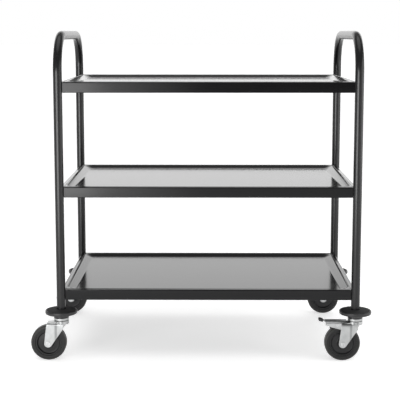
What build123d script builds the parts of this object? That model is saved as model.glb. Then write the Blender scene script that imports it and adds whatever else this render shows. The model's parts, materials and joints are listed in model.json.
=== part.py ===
from build123d import *
from math import atan, atan2, cos, degrees, pi, radians, sin, sqrt, tan
import os

# A three-shelf serving trolley: two bent-tube end frames, three pressed trays, four rubber bumpers and four
# swivel castors. Millimetres, +Z up, +X along the shelves, +Y away from the front. The origin is on the floor
# under the middle of the parked trolley, whose castors all trail towards -X.

# End frames
TUBE_DIAMETER = 25.0
TUBE_WALL = 1.5
HANDLE_RISE = 127.0
HANDLE_BEND_RADIUS = 100.0
POST_FOOT = 25.0

# Shelves: the posts' axes stand on the corners of the shelf outline
SHELF_LENGTH = 830.0
SHELF_DEPTH = 510.0
SHELF_PITCH = 292.0
SKIRT_HEIGHT = 30.0
SHELF_SHEET = 1.0
SHELF_BEND_RADIUS = 2.0
RIM_WIDTH = 15.0
SLOPE_WIDTH = 22.0
TRAY_DEPTH = 7.5
RIM_CORNER_RADIUS = 26.0
FLOOR_CORNER_RADIUS = 10.0
HEM_WIDTH = 12.0

# Stiffener under each shelf
STIFFENER_CROWN = 50.0
STIFFENER_FLANGE = 18.0
STIFFENER_HEIGHT = 15.0
STIFFENER_SHEET = 1.2
STIFFENER_END_MARGIN = 25.0

# Shelf bolts, set at 45 degrees through the shelf corners into the posts
BOLT_DIAMETER = 6.0
BOLT_LENGTH = 14.0
BOLT_HEAD_FLATS = 10.0
BOLT_HEAD_HEIGHT = 4.0
WASHER_DIAMETER = 14.0
WASHER_THICKNESS = 2.5
INSERT_WALL = 1.5
INSERT_LENGTH = 7.0

# Bumpers
BUMPER_DIAMETER = 90.0
BUMPER_RIM = 10.0
BUMPER_RISE = 3.0
BUMPER_LIP = 2.0
BUMPER_EDGE_RADIUS = 3.0
COLLAR_HEIGHT = 11.9
BUMPER_WEB = 6.9

# Wheels
WHEEL_DIAMETER = 100.0
TYRE_WIDTH = 28.0
TYRE_THICKNESS = 13.4
TYRE_SHOULDER_RADIUS = 6.0
TYRE_BEAD_CHAMFER = 1.6
TYRE_SIDE_GAP = 3.0
HUB_RIM_INSET = 2.0
HUB_RIM_THICKNESS = 4.0
HUB_WEB_WIDTH = 13.0
HUB_BOSS_WALL = 6.5
HUB_SIDE_GAP = 1.0
BUSH_WALL = 2.0
AXLE_DIAMETER = 8.0
AXLE_HEAD_RIM = 2.0
AXLE_HEAD_HEIGHT = 1.8
AXLE_DIMPLE_DIAMETER = 4.4
AXLE_DIMPLE_DEPTH = 1.0
AXLE_NUT_FLATS = 13.0
AXLE_NUT_HEIGHT = 6.5
AXLE_END = 2.0

# Castor forks: reaches run forward and setbacks back from the stem's axis, overhangs run back from the axle
# and drops run down from the crown's top
TRAIL = 36.0
FORK_SHEET = 3.0
FORK_BEND_RADIUS = 1.5
FORK_LOBE_RADIUS = 11.0
FORK_CROWN_OVERHANG = 4.0
FORK_CROWN_FRONT_REACH = 8.5
FORK_KNEE_REACH = 6.0
FORK_KNEE_DROP = 16.0
FORK_PANEL_SETBACK = 10.3
FORK_PANEL_RAISE = 1.6
FORK_JOGGLE_WIDTH = 7.0
WHEEL_TOP_GAP = 4.0
SHOULDER_WIDTH = 19.0
SHOULDER_RISE = 3.5

# Swivel heads
HEAD_DIAMETER = 42.0
HEAD_PLATE = 6.0
HEAD_GROOVE = 1.8
CUP_HEIGHT = 6.5
CUP_WALL = 3.0
BALL_DIAMETER = 6.0
BALL_PITCH_RATIO = 1.2
BALL_WALL_GAP = 1.0
TRACK_DEPTH = 1.0
HEAD_TRACK_DEPTH = 1.5
STEM_DIAMETER = 12.0
STEM_END = 2.0
KINGPIN_NUT_FLATS = 19.0
KINGPIN_NUT_HEIGHT = 7.0
EXPANDER_LENGTH = 32.0
EXPANDER_NUT_GAP = 0.6
EXPANDER_NUT_HEIGHT = 8.0

# Foot brakes on the right-hand castors: drops and rises run from the crown's top
WING_OVERHANG = 48.0
WING_RISE = 3.0
WING_NOSE = 6.0
WING_KNEE_OVERHANG = 35.0
WING_KNEE_DROP = 8.0
WING_ROOT_DROP = 16.0
PIVOT_OVERHANG = 16.0
PIVOT_DROP = 2.0
PIN_DIAMETER = 5.0
PIN_HEAD_RIM = 1.5
PIN_HEAD_HEIGHT = 1.5
PEDAL_SHEET = 2.0
PEDAL_BEND_RADIUS = 5.0
PEDAL_OVERHANG = 49.0
PEDAL_HEEL_GAP = 3.0
PEDAL_RISE = 7.0
PEDAL_FLANGE = 10.0
PEDAL_HEEL_FLANGE = 4.0
PEDAL_EAR_WALL = 3.0
TOE_LENGTH = 16.0
TOE_WIDTH = 13.0
TOE_ANGLE = 14.0
CAP_LENGTH = 13.0
CAP_WALL = 2.5
CAP_EDGE_RADIUS = 2.0
SHOE_OVERHANG = 22.0
SHOE_LENGTH = 13.0
BRAKE_TRAVEL = 8.0

# Clearances
POST_FIT = 0.2
SLIP_FIT = 0.05
RUNNING_FIT = 0.06
BOLT_FIT = 0.3
FACE_GAP = 0.3
BALL_FIT = 0.1
SHOE_GAP = 0.5
OVERCUT = 1.0
FILLET_SHARE = 0.45

# Places and radii that follow from the sizes above
tube_r = TUBE_DIAMETER / 2
tube_bore_r = tube_r - TUBE_WALL
half_length = SHELF_LENGTH / 2
half_depth = SHELF_DEPTH / 2
notch_r = tube_r + POST_FIT
wheel_r = WHEEL_DIAMETER / 2
bumper_r = BUMPER_DIAMETER / 2
head_r = HEAD_DIAMETER / 2
cup_bore_r = head_r - CUP_WALL
stem_r = STEM_DIAMETER / 2
axle_r = AXLE_DIAMETER / 2
pin_r = PIN_DIAMETER / 2
bolt_r = BOLT_DIAMETER / 2
ball_r = BALL_DIAMETER / 2
ball_ring_r = cup_bore_r - BALL_WALL_GAP - ball_r
crown_bottom = WHEEL_DIAMETER + WHEEL_TOP_GAP
crown_top = crown_bottom + FORK_SHEET
cup_top = crown_top + CUP_HEIGHT
head_bottom = cup_top + HEAD_GROOVE
head_top = head_bottom + HEAD_PLATE
tube_bottom = head_top + BUMPER_WEB
rim_bottom = head_top + COLLAR_HEIGHT
rim_top = rim_bottom + BUMPER_RIM
bumper_top = rim_top + BUMPER_RISE
bottom_shelf_height = bumper_top + POST_FOOT + SKIRT_HEIGHT
top_shelf_height = bottom_shelf_height + 2 * SHELF_PITCH
handle_height = top_shelf_height + HANDLE_RISE
ball_height = crown_top + ball_r - TRACK_DEPTH
leg_inside = TYRE_WIDTH / 2 + TYRE_SIDE_GAP
leg_outside = leg_inside + FORK_SHEET
leg_face = leg_outside + FORK_PANEL_RAISE
crown_back = -TRAIL - FORK_CROWN_OVERHANG
pedal_half = leg_inside - FACE_GAP
pedal_back = -TRAIL - PEDAL_OVERHANG
pedal_top = crown_top + PEDAL_RISE
pedal_underside = pedal_top - PEDAL_SHEET
pivot = Vector(-TRAIL - PIVOT_OVERHANG, 0, crown_top - PIVOT_DROP)
centre_x = (TRAIL + wheel_r - bumper_r) / 2

SIDES = {"left": -1, "right": 1}
ENDS = {"front": -1, "rear": 1}
SHELF_HEIGHTS = {
    "top": top_shelf_height,
    "middle": top_shelf_height - SHELF_PITCH,
    "bottom": bottom_shelf_height,
}


def save(node, shapes):
    """Writes one node, moved so that the origin lies under the middle of the parked trolley."""
    placed = [Pos(centre_x, 0, 0) * shape for shape in shapes]
    solids = [solid for shape in placed for solid in shape.solids()]
    whole = solids[0] if len(solids) == 1 else Compound(children=solids)
    export_step(whole, f"parts/{node}.step")


def upright(radius, low, high):
    """A cylinder on the Z axis."""
    return Pos(0, 0, low) * Cylinder(radius, high - low, align=(Align.CENTER, Align.CENTER, Align.MIN))


def lengthwise(radius, low, high):
    """A cylinder on the X axis."""
    return Rot(0, 90, 0) * upright(radius, low, high)


def crosswise(radius, low, high):
    """A cylinder on the Y axis."""
    return Rot(-90, 0, 0) * upright(radius, low, high)


def hexagon(flats, low, high):
    """A hexagonal prism on the Z axis."""
    face = RegularPolygon(flats / 2, 6, major_radius=False)
    return Pos(0, 0, low) * extrude(face, high - low)


def block(low, high):
    """A box between two corners."""
    size = Vector(high) - Vector(low)
    return Pos(*low) * Box(size.X, size.Y, size.Z, align=Align.MIN)


def side_plate(face, low, high):
    """A face drawn in X and Z, given thickness from Y low to Y high."""
    return Pos(0, high, 0) * extrude(Plane.XZ * face, high - low)


def turned(points):
    """A solid of revolution about the Z axis from a closed outline of radius and height."""
    return revolve(Plane.XZ * make_face(Polyline(*points, close=True)), Axis.Z)


def corner_places():
    """Yields each post's name and its X and Y signs."""
    for end, sign_y in ENDS.items():
        for side, sign_x in SIDES.items():
            yield f"{end}_{side}", sign_x, sign_y


def at_post(sign_x, sign_y, height=0.0):
    """The place of a post's axis at a height."""
    return Pos(sign_x * half_length, sign_y * half_depth, height)


def at_bolt(sign_x, sign_y, shelf_height):
    """A bolt's frame: origin on the post's axis, +X towards the middle of the shelf."""
    turn = degrees(atan2(-sign_y, -sign_x))
    return at_post(sign_x, sign_y, shelf_height - SKIRT_HEIGHT / 2) * Rot(0, 0, turn)


# End frames

insert_r = bolt_r + INSERT_WALL
insert_face = sqrt(tube_r**2 - insert_r**2)
insert_back = insert_face - INSERT_LENGTH


def end_frame(sign_x):
    """Two posts and a handle bent from one tube, with holes for the shelf inserts."""
    route = FilletPolyline(
        (0, -half_depth, tube_bottom),
        (0, -half_depth, handle_height),
        (0, half_depth, handle_height),
        (0, half_depth, tube_bottom),
        radius=HANDLE_BEND_RADIUS,
    )
    section = Circle(tube_r) - Circle(tube_bore_r)
    tube = sweep(Plane(route @ 0, z_dir=route % 0) * section, route)
    tube = Pos(sign_x * half_length, 0, 0) * tube
    hole = lengthwise(insert_r + SLIP_FIT, insert_back, tube_r + OVERCUT)
    for height in SHELF_HEIGHTS.values():
        for sign_y in ENDS.values():
            tube -= at_bolt(sign_x, sign_y, height) * hole
    return tube


# Shelves

slope_angle = atan(TRAY_DEPTH / SLOPE_WIDTH)
offset_shift = SHELF_SHEET * tan(slope_angle / 2)


def rounded_plate(inset, radius, height):
    """The shelf outline drawn in by an inset, with rounded corners."""
    face = RectangleRounded(SHELF_LENGTH - 2 * inset, SHELF_DEPTH - 2 * inset, radius)
    return Pos(0, 0, height) * face


def tray_hollow(grow, drop):
    """The sunk tray from the rim down to the floor, grown outwards and dropped."""
    rim = rounded_plate(RIM_WIDTH - grow, RIM_CORNER_RADIUS + grow, -drop)
    floor_inset = RIM_WIDTH + SLOPE_WIDTH - grow
    floor = rounded_plate(floor_inset, FLOOR_CORNER_RADIUS + grow, -TRAY_DEPTH - drop)
    return loft([floor, rim], ruled=True)


def shelf_block(inset, bottom):
    """The shelf's outside drawn in by an inset, with bent top edges and hollow corners round the posts."""
    block_shape = Pos(0, 0, bottom) * Box(
        SHELF_LENGTH - 2 * inset,
        SHELF_DEPTH - 2 * inset,
        -inset - bottom,
        align=(Align.CENTER, Align.CENTER, Align.MIN),
    )
    edges = block_shape.faces().sort_by(Axis.Z)[-1].edges()
    block_shape = fillet(edges, SHELF_BEND_RADIUS + SHELF_SHEET - inset)
    for _, sign_x, sign_y in corner_places():
        block_shape -= at_post(sign_x, sign_y) * upright(notch_r + inset, bottom - OVERCUT, OVERCUT)
    return block_shape


def shelf():
    """A pressed tray with its rim at height zero."""
    inside = shelf_block(SHELF_SHEET, SHELF_SHEET - SKIRT_HEIGHT)
    inside -= tray_hollow(offset_shift, SHELF_SHEET)
    hem_hole = extrude(rounded_plate(HEM_WIDTH, FLOOR_CORNER_RADIUS, -SKIRT_HEIGHT), SHELF_SHEET)
    tray = shelf_block(0, -SKIRT_HEIGHT) - tray_hollow(0, 0) - inside - hem_hole
    hole = lengthwise(bolt_r + BOLT_FIT, 0, notch_r + SHELF_SHEET + OVERCUT)
    for _, sign_x, sign_y in corner_places():
        tray -= at_bolt(sign_x, sign_y, 0) * hole
    return tray


def stiffener():
    """A top-hat channel that sits against the underside of the tray floor."""
    seat = -TRAY_DEPTH - SHELF_SHEET
    half_crown = STIFFENER_CROWN / 2
    half_foot = half_crown + STIFFENER_FLANGE
    outline = Polyline(
        (-half_foot, seat),
        (half_foot, seat),
        (half_foot, seat - STIFFENER_SHEET),
        (half_crown, seat - STIFFENER_SHEET),
        (half_crown, seat - STIFFENER_HEIGHT),
        (-half_crown, seat - STIFFENER_HEIGHT),
        (-half_crown, seat - STIFFENER_SHEET),
        (-half_foot, seat - STIFFENER_SHEET),
        close=True,
    )
    length = SHELF_LENGTH - 2 * (RIM_WIDTH + SLOPE_WIDTH + STIFFENER_END_MARGIN)
    bar = extrude(Plane.YZ * make_face(outline), length / 2, both=True)
    inner = half_crown - STIFFENER_SHEET
    return bar - block(
        (-length / 2, -inner, seat - STIFFENER_HEIGHT + STIFFENER_SHEET),
        (length / 2, inner, seat),
    )


# Shelf fastenings, each in its bolt's own frame

washer_seat = notch_r + SHELF_SHEET
bolt_seat = washer_seat + WASHER_THICKNESS


def shelf_bolt():
    """A hexagon bolt whose head stands inside the shelf corner."""
    head = Rot(0, 90, 0) * hexagon(BOLT_HEAD_FLATS, bolt_seat, bolt_seat + BOLT_HEAD_HEIGHT)
    return head + lengthwise(bolt_r, bolt_seat - BOLT_LENGTH, bolt_seat)


def saddle_washer():
    """A washer that is flat under the bolt head and hollow where it sits on the shelf corner."""
    washer = lengthwise(WASHER_DIAMETER / 2, 0, bolt_seat)
    washer -= upright(washer_seat, -WASHER_DIAMETER, WASHER_DIAMETER)
    return washer - lengthwise(bolt_r + BOLT_FIT, 0, bolt_seat)


def post_insert():
    """A threaded bush set into the post's wall."""
    bush = lengthwise(insert_r, insert_back, insert_face)
    return bush - lengthwise(bolt_r + SLIP_FIT, insert_back, insert_face)


# Bumper, castor head and stem, on the post's axis

socket_r = tube_r + POST_FIT
kingpin_nut_top = crown_bottom - FACE_GAP
expander_top = tube_bottom + EXPANDER_LENGTH


def bumper():
    """A domed rubber disc with a socket for the post and a collar that stands on the castor head."""
    hole_r = stem_r + SLIP_FIT
    face = make_face(
        Polyline(
            (hole_r, head_top),
            (head_r, head_top),
            (head_r, rim_bottom),
            (bumper_r, rim_bottom),
            (bumper_r, rim_top),
            (socket_r + BUMPER_LIP, bumper_top),
            (socket_r, bumper_top),
            (socket_r, tube_bottom),
            (hole_r, tube_bottom),
            close=True,
        )
    )
    edge_radius = min(BUMPER_EDGE_RADIUS, FILLET_SHARE * BUMPER_RIM)
    face = fillet(face.vertices().sort_by(Axis.X)[-2:], edge_radius)
    return revolve(Plane.XZ * face, Axis.Z)


def castor_head():
    """The fixed upper race: a plate over the fork's cup and a boss with the ball track under it."""
    boss_r = cup_bore_r - FACE_GAP
    boss_bottom = ball_height + HEAD_TRACK_DEPTH
    head = turned(
        [
            (stem_r + SLIP_FIT, boss_bottom),
            (boss_r, boss_bottom),
            (boss_r, head_bottom),
            (head_r, head_bottom),
            (head_r, head_top),
            (stem_r + SLIP_FIT, head_top),
        ]
    )
    return head - Pos(0, 0, ball_height) * Torus(ball_ring_r, ball_r + FACE_GAP)


def castor_stem():
    """The kingpin: from under the fork's crown up through the bumper into the post."""
    low = kingpin_nut_top - KINGPIN_NUT_HEIGHT - STEM_END
    return upright(stem_r, low, expander_top + EXPANDER_NUT_HEIGHT + STEM_END)


def kingpin_nut():
    """The nut that holds the fork up on the stem."""
    low = kingpin_nut_top - KINGPIN_NUT_HEIGHT
    nut = hexagon(KINGPIN_NUT_FLATS, low, kingpin_nut_top)
    return nut - upright(stem_r + SLIP_FIT, low, kingpin_nut_top)


def expander_bush():
    """The bush that grips the inside of the post."""
    bush = upright(tube_bore_r - SLIP_FIT, tube_bottom, expander_top)
    return bush - upright(stem_r + SLIP_FIT, tube_bottom, expander_top)


def expander_nut():
    """The nut that squeezes the bush."""
    top = expander_top + EXPANDER_NUT_HEIGHT
    corner_r = tube_bore_r - EXPANDER_NUT_GAP
    nut = hexagon(2 * corner_r * cos(pi / 6), expander_top, top)
    return nut - upright(stem_r + SLIP_FIT, expander_top, top)


# Fork, balls and axle, which swivel

def arch(half_width, height, radius):
    """An upright rectangle standing on zero, with its two upper corners rounded."""
    face = make_face(
        Polyline((-half_width, 0), (half_width, 0), (half_width, height), (-half_width, height), close=True)
    )
    return fillet(face.vertices().sort_by(Axis.Y)[-2:], radius)


def channel(half_width, sheet, bend_radius, top, back, front):
    """A sheet bent into an upside-down U along X, from X back to X front."""
    outside = arch(half_width, top, bend_radius + sheet)
    inside = arch(half_width - sheet, top - sheet, bend_radius)
    return Pos(back, 0, 0) * extrude(Plane.YZ * (outside - inside), front - back)


def fork_outline():
    """The side view of a fork leg: a round lobe at the axle widening to a knee and the crown."""
    lobe = Pos(-TRAIL, wheel_r) * Circle(FORK_LOBE_RADIUS)
    crown = Polyline(
        (crown_back, crown_top),
        (FORK_CROWN_FRONT_REACH, crown_top),
        (FORK_KNEE_REACH, crown_top - FORK_KNEE_DROP),
    )
    return make_hull(lobe.edges() + crown.edges())


def fork_blank():
    """The bent sheet cut to the leg outline, with panels on its legs joggled out towards the back."""
    outline = fork_outline()
    reach = TRAIL + WHEEL_DIAMETER
    bent = channel(leg_outside, FORK_SHEET, FORK_BEND_RADIUS, crown_top, -reach, reach)
    fork = bent & side_plate(outline, -leg_outside, leg_outside)
    panel_plan = make_face(
        Polyline(
            (-reach, leg_outside),
            (-reach, leg_face),
            (-FORK_PANEL_SETBACK - FORK_JOGGLE_WIDTH, leg_face),
            (-FORK_PANEL_SETBACK, leg_outside),
            close=True,
        )
    )
    panel = extrude(panel_plan, crown_bottom - FORK_BEND_RADIUS) & side_plate(outline, leg_outside, leg_face)
    return fork + panel + mirror(panel, about=Plane.XZ)


def brake_wing():
    """The side view of a brake wing, from the leg back over the wheel."""
    wing_top = crown_top + WING_RISE
    wing_end = -TRAIL - WING_OVERHANG
    return make_face(
        Polyline(
            (crown_back, wing_top),
            (wing_end, wing_top),
            (wing_end, wing_top - WING_NOSE),
            (-TRAIL - WING_KNEE_OVERHANG, crown_top - WING_KNEE_DROP),
            (crown_back, crown_top - WING_ROOT_DROP),
            close=True,
        )
    )


def castor_fork(braked):
    """A pressed fork with the lower ball cup on its crown, and brake wings where it is braked."""
    fork = fork_blank()
    shoulder_half = leg_inside - FORK_BEND_RADIUS
    shoulder = Pos(0, 0, crown_top) * Cone(
        head_r + SHOULDER_WIDTH, head_r, SHOULDER_RISE, align=(Align.CENTER, Align.CENTER, Align.MIN)
    )
    shoulder &= block((crown_back, -shoulder_half, crown_top), (0, shoulder_half, cup_top))
    fork += shoulder + upright(head_r, crown_bottom, cup_top)
    fork -= upright(cup_bore_r, crown_top, cup_top)
    fork -= Pos(0, 0, ball_height) * Torus(ball_ring_r, ball_r + BALL_FIT)
    fork -= upright(stem_r + RUNNING_FIT, crown_bottom, crown_top)
    if braked:
        wing = brake_wing()
        fork += side_plate(wing, -leg_outside, -leg_inside)
        fork += side_plate(wing, leg_inside, leg_outside)
        fork -= Pos(pivot) * crosswise(pin_r + SLIP_FIT, -leg_outside, leg_outside)
    return fork - Pos(-TRAIL, 0, wheel_r) * crosswise(axle_r + SLIP_FIT, -leg_face, leg_face)


def race_balls():
    """The ring of loose balls that the fork turns on."""
    count = int(2 * pi * ball_ring_r / (BALL_PITCH_RATIO * BALL_DIAMETER))
    ball = Pos(ball_ring_r, 0, ball_height) * Sphere(ball_r)
    return [Rot(0, 0, 360 * index / count) * ball for index in range(count)]


def axle_bolt():
    """The axle, with a low dimpled head at the front and a bare end for the nut."""
    head_face = -leg_face - AXLE_HEAD_HEIGHT
    bolt = crosswise(axle_r, -leg_face, leg_face + AXLE_NUT_HEIGHT + AXLE_END)
    bolt += crosswise(axle_r + AXLE_HEAD_RIM, head_face, -leg_face)
    bolt -= crosswise(AXLE_DIMPLE_DIAMETER / 2, head_face, head_face + AXLE_DIMPLE_DEPTH)
    return Pos(-TRAIL, 0, wheel_r) * bolt


def axle_nut():
    """The nut on the rear end of the axle."""
    nut = Rot(-90, 0, 0) * hexagon(AXLE_NUT_FLATS, leg_face, leg_face + AXLE_NUT_HEIGHT)
    nut -= crosswise(axle_r + SLIP_FIT, leg_face, leg_face + AXLE_NUT_HEIGHT)
    return Pos(-TRAIL, 0, wheel_r) * nut


# Wheel, which turns on the axle

bead_r = wheel_r - TYRE_THICKNESS
hub_r = bead_r - SLIP_FIT
bush_r = axle_r + BUSH_WALL


def on_axle(shape):
    """Turns a solid of revolution from the Z axis onto the castor's axle."""
    return Pos(-TRAIL, 0, wheel_r) * Rot(-90, 0, 0) * shape


def tyre():
    """A rubber tyre with round shoulders and bevelled beads."""
    half = TYRE_WIDTH / 2
    face = make_face(Polyline((bead_r, -half), (wheel_r, -half), (wheel_r, half), (bead_r, half), close=True))
    beads = face.vertices().sort_by(Axis.X)[:2]
    face = chamfer(beads, TYRE_BEAD_CHAMFER)
    shoulders = face.vertices().sort_by(Axis.X)[-2:]
    face = fillet(shoulders, min(TYRE_SHOULDER_RADIUS, FILLET_SHARE * TYRE_WIDTH))
    return on_axle(revolve(Plane.XZ * face, Axis.Z))


def wheel_hub():
    """A moulded wheel centre: rim, dished web and a boss bored for the bush."""
    bore_r = bush_r + SLIP_FIT
    boss_r = bore_r + HUB_BOSS_WALL
    ring_r = hub_r - HUB_RIM_THICKNESS
    rim = TYRE_WIDTH / 2 - HUB_RIM_INSET
    web = HUB_WEB_WIDTH / 2
    boss = leg_inside - HUB_SIDE_GAP
    hub = turned(
        [
            (bore_r, -boss),
            (boss_r, -boss),
            (boss_r, -web),
            (ring_r, -web),
            (ring_r, -rim),
            (hub_r, -rim),
            (hub_r, rim),
            (ring_r, rim),
            (ring_r, web),
            (boss_r, web),
            (boss_r, boss),
            (bore_r, boss),
        ]
    )
    return on_axle(hub)


def wheel_bush():
    """The plain bearing between wheel centre and axle."""
    half = leg_inside - FACE_GAP
    bush = upright(bush_r, -half, half)
    return on_axle(bush - upright(axle_r + RUNNING_FIT, -half, half))


# Foot brake, in the castor's own frame

heel = -head_r - PEDAL_HEEL_GAP
toe_place = Pos(pedal_back, 0, pedal_top) * Rot(0, TOE_ANGLE, 0)


def brake_pedal():
    """A channel-shaped pedal with ears on the pivot pin and a narrow toe turned up."""
    strip = make_face(
        Polyline(
            (pedal_back, pedal_top),
            (heel, pedal_top),
            (heel, pedal_top - PEDAL_HEEL_FLANGE),
            (crown_back, pedal_top - PEDAL_HEEL_FLANGE),
            (pivot.X, pedal_top - PEDAL_FLANGE),
            (pedal_back, pedal_top - PEDAL_FLANGE),
            close=True,
        )
    )
    ear_r = pin_r + PEDAL_EAR_WALL
    ear_root = Line((pivot.X - ear_r, pedal_underside), (pivot.X + ear_r, pedal_underside))
    ear = make_hull((Pos(pivot.X, pivot.Z) * Circle(ear_r)).edges() + ear_root.edges())
    bent = channel(pedal_half, PEDAL_SHEET, PEDAL_BEND_RADIUS, pedal_top, pedal_back, heel)
    pedal = bent & side_plate(strip + ear, -pedal_half, pedal_half)
    half_toe = TOE_WIDTH / 2
    pedal += toe_place * block((-TOE_LENGTH, -half_toe, -PEDAL_SHEET), (PEDAL_SHEET, half_toe, 0))
    return pedal - Pos(pivot) * crosswise(pin_r + RUNNING_FIT, -pedal_half, pedal_half)


def pedal_cap():
    """A soft cap pushed over the pedal's toe."""
    half_pocket = TOE_WIDTH / 2 + SLIP_FIT
    half_cap = half_pocket + CAP_WALL
    pocket_end = -TOE_LENGTH - SLIP_FIT
    cap_end = pocket_end - CAP_WALL
    mouth = cap_end + CAP_LENGTH
    cap = block((cap_end, -half_cap, -PEDAL_SHEET - CAP_WALL), (mouth, half_cap, CAP_WALL))
    cap = fillet(cap.edges().filter_by(Axis.Y), min(CAP_EDGE_RADIUS, CAP_WALL))
    pocket = block((pocket_end, -half_pocket, -PEDAL_SHEET - SLIP_FIT), (mouth, half_pocket, SLIP_FIT))
    return toe_place * (cap - pocket)


def brake_shoe():
    """The block under the pedal that meets the tyre when the pedal is down."""
    half = pedal_half - PEDAL_SHEET - PEDAL_BEND_RADIUS
    front = -TRAIL - SHOE_OVERHANG
    shoe = block((front - SHOE_LENGTH, -half, wheel_r), (front, half, pedal_underside))
    travel = radians(BRAKE_TRAVEL)
    axle_x = -TRAIL - pivot.X
    axle_z = wheel_r - pivot.Z
    pressed_x = pivot.X + axle_x * cos(travel) + axle_z * sin(travel)
    pressed_z = pivot.Z - axle_x * sin(travel) + axle_z * cos(travel)
    return shoe - Pos(pressed_x, 0, pressed_z) * crosswise(wheel_r + SHOE_GAP, -half, half)


def pedal_pin():
    """The headed pin that the pedal tips on."""
    pin = crosswise(pin_r, -leg_outside, leg_outside)
    pin += crosswise(pin_r + PIN_HEAD_RIM, -leg_outside - PIN_HEAD_HEIGHT, -leg_outside)
    pin += crosswise(pin_r + PIN_HEAD_RIM, leg_outside, leg_outside + PIN_HEAD_HEIGHT)
    return Pos(pivot) * pin


# Assembly

os.makedirs("parts", exist_ok=True)

for side_name, side_sign in SIDES.items():
    save(f"end_frame_{side_name}", [end_frame(side_sign)])

tray_shape = shelf()
stiffener_shape = stiffener()
for shelf_name, rim_height in SHELF_HEIGHTS.items():
    save(f"{shelf_name}_shelf", [Pos(0, 0, rim_height) * tray_shape])
    save(f"{shelf_name}_shelf_stiffener", [Pos(0, 0, rim_height) * stiffener_shape])

fastenings = {"shelf_bolts": shelf_bolt(), "shelf_washers": saddle_washer(), "post_inserts": post_insert()}
for node_name, fastening in fastenings.items():
    copies = [
        at_bolt(sign_x, sign_y, rim_height) * fastening
        for rim_height in SHELF_HEIGHTS.values()
        for _, sign_x, sign_y in corner_places()
    ]
    save(node_name, copies)

stem_pieces = {
    "castor_stems": castor_stem(),
    "kingpin_nuts": kingpin_nut(),
    "expander_bushes": expander_bush(),
    "expander_nuts": expander_nut(),
}
for node_name, stem_piece in stem_pieces.items():
    save(node_name, [at_post(sign_x, sign_y) * stem_piece for _, sign_x, sign_y in corner_places()])

castor_pieces = {
    "bumper": [bumper()],
    "castor_head": [castor_head()],
    "race_balls": race_balls(),
    "axle_bolt": [axle_bolt()],
    "axle_nut": [axle_nut()],
    "tyre": [tyre()],
    "wheel_hub": [wheel_hub()],
    "wheel_bush": [wheel_bush()],
}
brake_pieces = {
    "brake_pedal": [brake_pedal()],
    "pedal_cap": [pedal_cap()],
    "brake_shoe": [brake_shoe()],
    "pedal_pin": [pedal_pin()],
}
forks = {-1: castor_fork(braked=False), 1: castor_fork(braked=True)}
for corner, sign_x, sign_y in corner_places():
    pieces = castor_pieces | {"castor_fork": [forks[sign_x]]}
    if sign_x == SIDES["right"]:
        pieces = pieces | brake_pieces
    for piece_name, shapes in pieces.items():
        save(f"{piece_name}_{corner}", [at_post(sign_x, sign_y) * shape for shape in shapes])
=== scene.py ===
"""The looks of a three-shelf serving trolley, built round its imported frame, in metres."""

import json
import logging
import math
from collections.abc import Callable, Iterable, Sequence
from dataclasses import dataclass, field
from enum import Enum

import bmesh
import bpy
from mathutils import Matrix, Vector


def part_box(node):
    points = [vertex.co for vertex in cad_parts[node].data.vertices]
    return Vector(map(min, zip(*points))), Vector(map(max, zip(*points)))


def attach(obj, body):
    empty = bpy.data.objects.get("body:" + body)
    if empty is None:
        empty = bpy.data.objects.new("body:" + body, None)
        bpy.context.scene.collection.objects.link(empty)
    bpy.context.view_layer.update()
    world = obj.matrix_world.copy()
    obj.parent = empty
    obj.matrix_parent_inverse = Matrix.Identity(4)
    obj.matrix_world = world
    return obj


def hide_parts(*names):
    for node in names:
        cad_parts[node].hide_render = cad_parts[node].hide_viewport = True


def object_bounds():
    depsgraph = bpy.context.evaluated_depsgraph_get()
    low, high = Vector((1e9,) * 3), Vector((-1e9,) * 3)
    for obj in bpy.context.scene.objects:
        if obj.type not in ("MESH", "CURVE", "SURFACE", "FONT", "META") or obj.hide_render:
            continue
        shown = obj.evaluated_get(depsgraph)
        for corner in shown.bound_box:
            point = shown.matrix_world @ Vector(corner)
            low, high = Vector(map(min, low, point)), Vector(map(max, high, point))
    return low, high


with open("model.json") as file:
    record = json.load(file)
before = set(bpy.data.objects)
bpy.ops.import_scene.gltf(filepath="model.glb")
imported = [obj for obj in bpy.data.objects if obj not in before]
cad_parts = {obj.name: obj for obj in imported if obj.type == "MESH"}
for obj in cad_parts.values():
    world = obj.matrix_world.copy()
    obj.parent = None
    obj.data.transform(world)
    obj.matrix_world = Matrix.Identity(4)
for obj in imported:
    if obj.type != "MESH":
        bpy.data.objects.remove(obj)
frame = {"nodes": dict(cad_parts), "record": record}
CAD_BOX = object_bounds()

LOG = logging.getLogger("trolley")
MM = 0.001
MERGE_DISTANCE = 0.01 * MM
UP = Vector((0, 0, 1))
ALONG = Vector((1, 0, 0))
ACROSS = Vector((0, 1, 0))
NODE_BODY = {node: body for body, nodes in frame["record"]["behaviour"]["bodies"].items() for node in nodes}
NODE_SLOT = {part["node"]: part["material_slot"] for part in frame["record"]["subparts"]}


class Grain(Enum):
    """How the fine pattern of a surface lies."""

    EVEN = "even"
    HAIRLINE = "hairline"


def linear(colour: str) -> tuple[float, float, float, float]:
    """Turns an sRGB colour into the renderer's linear one.

    Args:
        colour: Six hex digits, red first.

    Returns:
        Linear red, green and blue, and an alpha of one.
    """
    shares = [int(colour[i : i + 2], 16) / 255 for i in (0, 2, 4)]
    red, green, blue = (s / 12.92 if s <= 0.04045 else ((s + 0.055) / 1.055) ** 2.4 for s in shares)
    return red, green, blue, 1.0


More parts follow.
